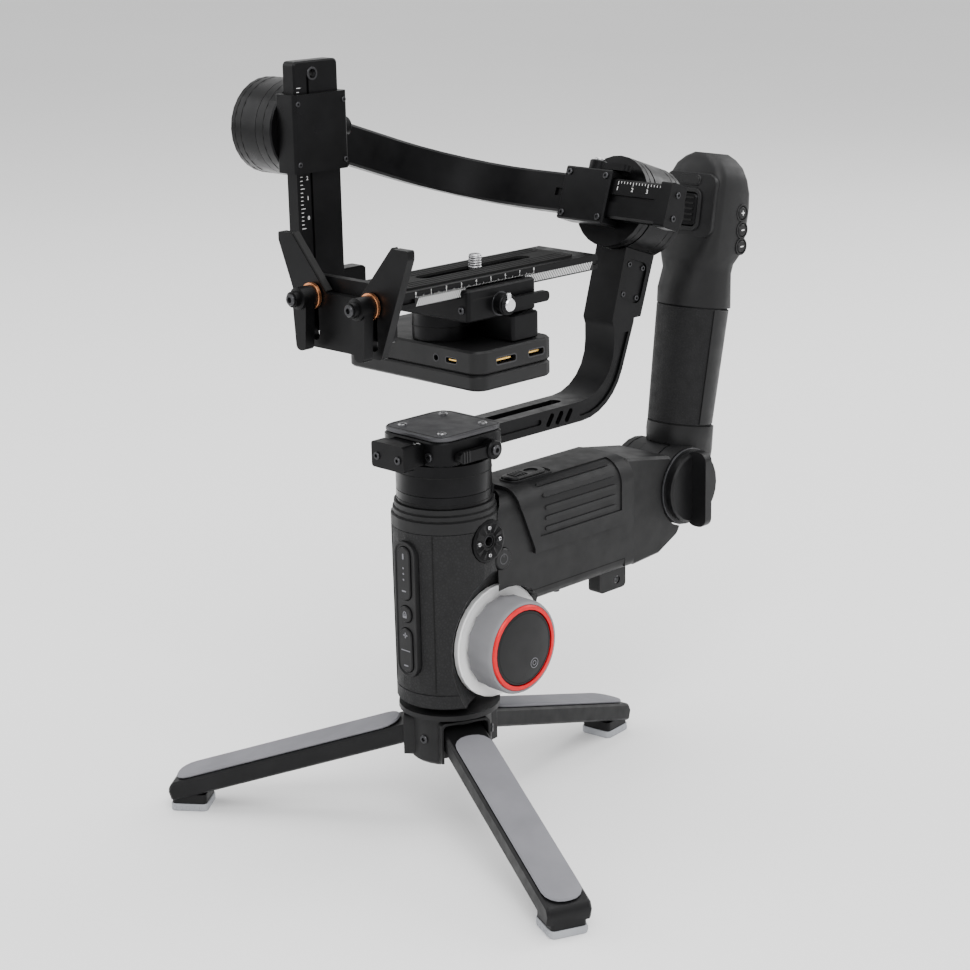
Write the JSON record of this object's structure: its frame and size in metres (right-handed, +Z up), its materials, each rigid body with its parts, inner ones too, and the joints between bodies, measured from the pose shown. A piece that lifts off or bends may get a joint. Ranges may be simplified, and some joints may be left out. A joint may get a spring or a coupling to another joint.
{
  "type": "camera gimbal stabilizer",
  "caption": "Handheld three-axis camera gimbal with a focus wheel, a folding tripod base, a sliding quick-release camera base with a lens fork, and a rear sling handle.",
  "frame": {"origin": "middle of the footprint of the bounding box, on the surface the tripod stands on", "axes": "+Z up, +Y towards the rear handle, +X towards the focus wheel"},
  "size_m": [0.27, 0.319, 0.383],
  "materials": {
    "battery_cell_1": "smooth wrap",
    "battery_cell_2": "smooth wrap",
    "battery_cell_3": "smooth wrap",
    "body_shell": "fine matte black",
    "control_frame": "fine matte black",
    "grip_collar": "fine matte black",
    "grip_sleeve": "fine matte black",
    "hinge_neck": "fine matte black",
    "main_board": "solder mask",
    "pan_motor_stator": "matte black anodised",
    "rosette_mount": "matte black anodised",
    "tripod_hub": "fine matte black",
    "wheel_base": "smooth white",
    "leg_pad_front": "soft grey",
    "tripod_leg_front": "fine matte black",
    "leg_pad_left": "soft grey",
    "tripod_leg_left": "fine matte black",
    "leg_pad_rear": "soft grey",
    "tripod_leg_rear": "fine matte black",
    "mode_button": "fine matte black",
    "lock_button": "fine matte black",
    "zoom_rocker": "fine matte black",
    "power_button": "fine matte black",
    "wheel_face": "fine matte black",
    "wheel_red_ring": "red anodised",
    "wheel_rubber_ring": "soft grey",
    "battery_door": "fine matte black",
    "door_latch": "fine matte black",
    "hinge_knob": "fine matte black",
    "handle_grip": "soft black",
    "handle_shell": "fine matte black",
    "handle_trigger": "fine matte black",
    "handle_button_1": "soft grey",
    "handle_button_2": "soft grey",
    "handle_button_3": "soft grey",
    "pan_clamp_block": "matte black anodised",
    "pan_clamp_plate": "satin dark grey",
    "pan_motor_rotor": "matte black anodised",
    "pan_clamp_lever": "matte black anodised",
    "pan_arm": "matte black anodised",
    "pan_arm_rear_cover": "fine matte black",
    "roll_motor_stator": "matte black anodised",
    "roll_clamp": "matte black anodised",
    "roll_motor_rotor": "matte black anodised",
    "roll_clamp_lever": "matte black anodised",
    "roll_arm": "matte black anodised",
    "tilt_motor_housing": "matte black anodised",
    "tilt_motor_rotor": "matte black anodised",
    "tilt_clamp_lever": "matte black anodised",
    "base_box_lower": "fine matte black",
    "base_box_upper": "fine matte black",
    "qr_base": "matte black anodised",
    "slide_block": "matte black anodised",
    "tilt_bar": "matte black anodised",
    "qr_lever": "matte black anodised",
    "qr_plate": "matte black anodised",
    "camera_screw": "bright",
    "lens_fork": "matte black anodised",
    "fork_lever_left": "matte black anodised",
    "fork_lever_right": "matte black anodised"
  },
  "bodies": {
    "grip": {"battery_cell_1": "battery_cell_1", "battery_cell_2": "battery_cell_2", "battery_cell_3": "battery_cell_3", "body_shell": "body_shell", "control_frame": "control_frame", "grip_collar": "grip_collar", "grip_sleeve": "grip_sleeve", "hinge_neck": "hinge_neck", "main_board": "main_board", "pan_motor_stator": "pan_motor_stator", "rosette_mount": "rosette_mount", "tripod_hub": "tripod_hub", "wheel_base": "wheel_base"},
    "leg_front": {"leg_pad_front": "leg_pad_front", "tripod_leg_front": "tripod_leg_front"},
    "leg_left": {"leg_pad_left": "leg_pad_left", "tripod_leg_left": "tripod_leg_left"},
    "leg_rear": {"leg_pad_rear": "leg_pad_rear", "tripod_leg_rear": "tripod_leg_rear"},
    "mode_key": {"mode_button": "mode_button"},
    "lock_key": {"lock_button": "lock_button"},
    "rocker_key": {"zoom_rocker": "zoom_rocker"},
    "power_key": {"power_button": "power_button"},
    "wheel": {"wheel_face": "wheel_face", "wheel_red_ring": "wheel_red_ring", "wheel_rubber_ring": "wheel_rubber_ring"},
    "door": {"battery_door": "battery_door"},
    "latch": {"door_latch": "door_latch"},
    "knob": {"hinge_knob": "hinge_knob"},
    "handle": {"handle_grip": "handle_grip", "handle_shell": "handle_shell"},
    "trigger": {"handle_trigger": "handle_trigger"},
    "button_1": {"handle_button_1": "handle_button_1"},
    "button_2": {"handle_button_2": "handle_button_2"},
    "button_3": {"handle_button_3": "handle_button_3"},
    "pan": {"pan_clamp_block": "pan_clamp_block", "pan_clamp_plate": "pan_clamp_plate", "pan_motor_rotor": "pan_motor_rotor"},
    "pan_lever": {"pan_clamp_lever": "pan_clamp_lever"},
    "arm": {"pan_arm": "pan_arm", "pan_arm_rear_cover": "pan_arm_rear_cover", "roll_motor_stator": "roll_motor_stator"},
    "roll": {"roll_clamp": "roll_clamp", "roll_motor_rotor": "roll_motor_rotor"},
    "roll_lever": {"roll_clamp_lever": "roll_clamp_lever"},
    "side_arm": {"roll_arm": "roll_arm", "tilt_motor_housing": "tilt_motor_housing"},
    "tilt": {"tilt_motor_rotor": "tilt_motor_rotor"},
    "tilt_lever": {"tilt_clamp_lever": "tilt_clamp_lever"},
    "base": {"base_box_lower": "base_box_lower", "base_box_upper": "base_box_upper", "qr_base": "qr_base", "slide_block": "slide_block", "tilt_bar": "tilt_bar"},
    "base_lever": {"qr_lever": "qr_lever"},
    "plate": {"qr_plate": "qr_plate"},
    "screw": {"camera_screw": "camera_screw"},
    "fork": {"lens_fork": "lens_fork"},
    "fork_pin_left": {"fork_lever_left": "fork_lever_left"},
    "fork_pin_right": {"fork_lever_right": "fork_lever_right"}
  },
  "joints": [
    {"name": "leg_front_fold", "type": "hinge", "parent": "grip", "child": "leg_front", "pos_m": [0.00878, -0.06756, 0.051], "axis": [0.3891, 0.9212, 0], "range_deg": [0, 66]},
    {"name": "leg_left_fold", "type": "hinge", "parent": "grip", "child": "leg_left", "pos_m": [-0.01872, -0.07098, 0.051], "axis": [0.6032, -0.7976, 0], "range_deg": [0, 66]},
    {"name": "leg_rear_fold", "type": "hinge", "parent": "grip", "child": "leg_rear", "pos_m": [-0.00794, -0.04546, 0.051], "axis": [-0.9923, -0.1236, 0], "range_deg": [0, 66]},
    {"name": "mode_key_press", "type": "slide", "parent": "grip", "child": "mode_key", "axis": [0, 1, 0], "range_m": [0, 0.0012], "stiffness_N_per_m": 400},
    {"name": "lock_key_press", "type": "slide", "parent": "grip", "child": "lock_key", "axis": [0, 1, 0], "range_m": [0, 0.0012], "stiffness_N_per_m": 400},
    {"name": "rocker_tilt", "type": "hinge", "parent": "grip", "child": "rocker_key", "pos_m": [-0.00596, -0.08863, 0.0985], "axis": [1, 0, 0], "range_deg": [-4, 4], "stiffness_Nm_per_rad": 0.2},
    {"name": "power_key_press", "type": "slide", "parent": "grip", "child": "power_key", "axis": [-1, 0, 0], "range_m": [0, 0.0012], "stiffness_N_per_m": 400},
    {"name": "wheel_turn", "type": "hinge", "parent": "grip", "child": "wheel", "pos_m": [0.00854, -0.04173, 0.0948], "axis": [1, 0, 0], "continuous": true},
    {"name": "door_swing", "type": "hinge", "parent": "grip", "child": "door", "pos_m": [0.01924, 0.01367, 0.1376], "axis": [0, 1, 0], "range_deg": [0, 95]},
    {"name": "latch_slide", "type": "slide", "parent": "door", "child": "latch", "axis": [0, 1, 0], "range_m": [0, 0.003]},
    {"name": "knob_turn", "type": "hinge", "parent": "grip", "child": "knob", "pos_m": [0.01134, 0.10567, 0.1445], "axis": [1, 0, 0], "continuous": true},
    {"name": "handle_fold", "type": "hinge", "parent": "grip", "child": "handle", "pos_m": [-0.00596, 0.10567, 0.1445], "axis": [1, 0, 0], "range_deg": [-90, 0]},
    {"name": "trigger_press", "type": "slide", "parent": "handle", "child": "trigger", "axis": [0, 0.986, -0.1668], "range_m": [0, 0.0015], "stiffness_N_per_m": 400},
    {"name": "button_1_press", "type": "slide", "parent": "handle", "child": "button_1", "axis": [-1, 0, 0], "range_m": [0, 0.0008], "stiffness_N_per_m": 400},
    {"name": "button_2_press", "type": "slide", "parent": "handle", "child": "button_2", "axis": [-1, 0, 0], "range_m": [0, 0.0008], "stiffness_N_per_m": 400},
    {"name": "button_3_press", "type": "slide", "parent": "handle", "child": "button_3", "axis": [-1, 0, 0], "range_m": [0, 0.0008], "stiffness_N_per_m": 400},
    {"name": "pan_turn", "type": "hinge", "parent": "grip", "child": "pan", "pos_m": [-0.00596, -0.06133, 0.186], "axis": [0, 0, 1], "continuous": true},
    {"name": "pan_lever_turn", "type": "hinge", "parent": "pan", "child": "pan_lever", "pos_m": [0.01904, -0.05333, 0.1995], "axis": [1, 0, 0], "range_deg": [-90, 15]},
    {"name": "arm_slide", "type": "slide", "parent": "pan", "child": "arm", "axis": [0, 1, 0], "range_m": [-0.025, 0.003]},
    {"name": "roll_turn", "type": "hinge", "parent": "arm", "child": "roll", "pos_m": [-0.00596, 0.0682, 0.3034], "axis": [0, 0.9455, -0.3256], "continuous": true},
    {"name": "roll_lever_turn", "type": "hinge", "parent": "roll", "child": "roll_lever", "pos_m": [-0.01396, 0.06283, 0.32005], "axis": [0, 0.3256, 0.9455], "range_deg": [-90, 8]},
    {"name": "side_arm_slide", "type": "slide", "parent": "roll", "child": "side_arm", "axis": [1, 0, 0], "range_m": [-0.01, 0.003]},
    {"name": "tilt_turn", "type": "hinge", "parent": "side_arm", "child": "tilt", "pos_m": [-0.09896, -0.06133, 0.348], "axis": [1, 0, 0], "range_deg": [-120, 36]},
    {"name": "tilt_lever_turn", "type": "hinge", "parent": "tilt", "child": "tilt_lever", "pos_m": [-0.09246, -0.04603, 0.348], "axis": [0, 1, 0], "range_deg": [-60, 8]},
    {"name": "bar_slide", "type": "slide", "parent": "tilt", "child": "base", "axis": [0, 0, 1], "range_m": [-0.012, 0.012]},
    {"name": "base_lever_turn", "type": "hinge", "parent": "base", "child": "base_lever", "pos_m": [0.01934, -0.04433, 0.2705], "axis": [1, 0, 0], "range_deg": [-5, 45]},
    {"name": "plate_slide", "type": "slide", "parent": "base", "child": "plate", "axis": [0, 1, 0], "range_m": [-0.025, 0.008]},
    {"name": "screw_turn", "type": "hinge", "parent": "plate", "child": "screw", "pos_m": [-0.00596, -0.03633, 0.2757], "axis": [0, 0, 1], "continuous": true},
    {"name": "fork_slide", "type": "slide", "parent": "plate", "child": "fork", "axis": [0, 0, 1], "range_m": [0, 0.015]},
    {"name": "fork_pin_left_turn", "type": "hinge", "parent": "plate", "child": "fork_pin_left", "pos_m": [-0.02646, -0.12333, 0.281], "axis": [0, 1, 0], "range_deg": [-80, 80]},
    {"name": "fork_pin_right_turn", "type": "hinge", "parent": "plate", "child": "fork_pin_right", "pos_m": [0.01454, -0.12333, 0.281], "axis": [0, 1, 0], "range_deg": [-80, 80]}
  ]
}
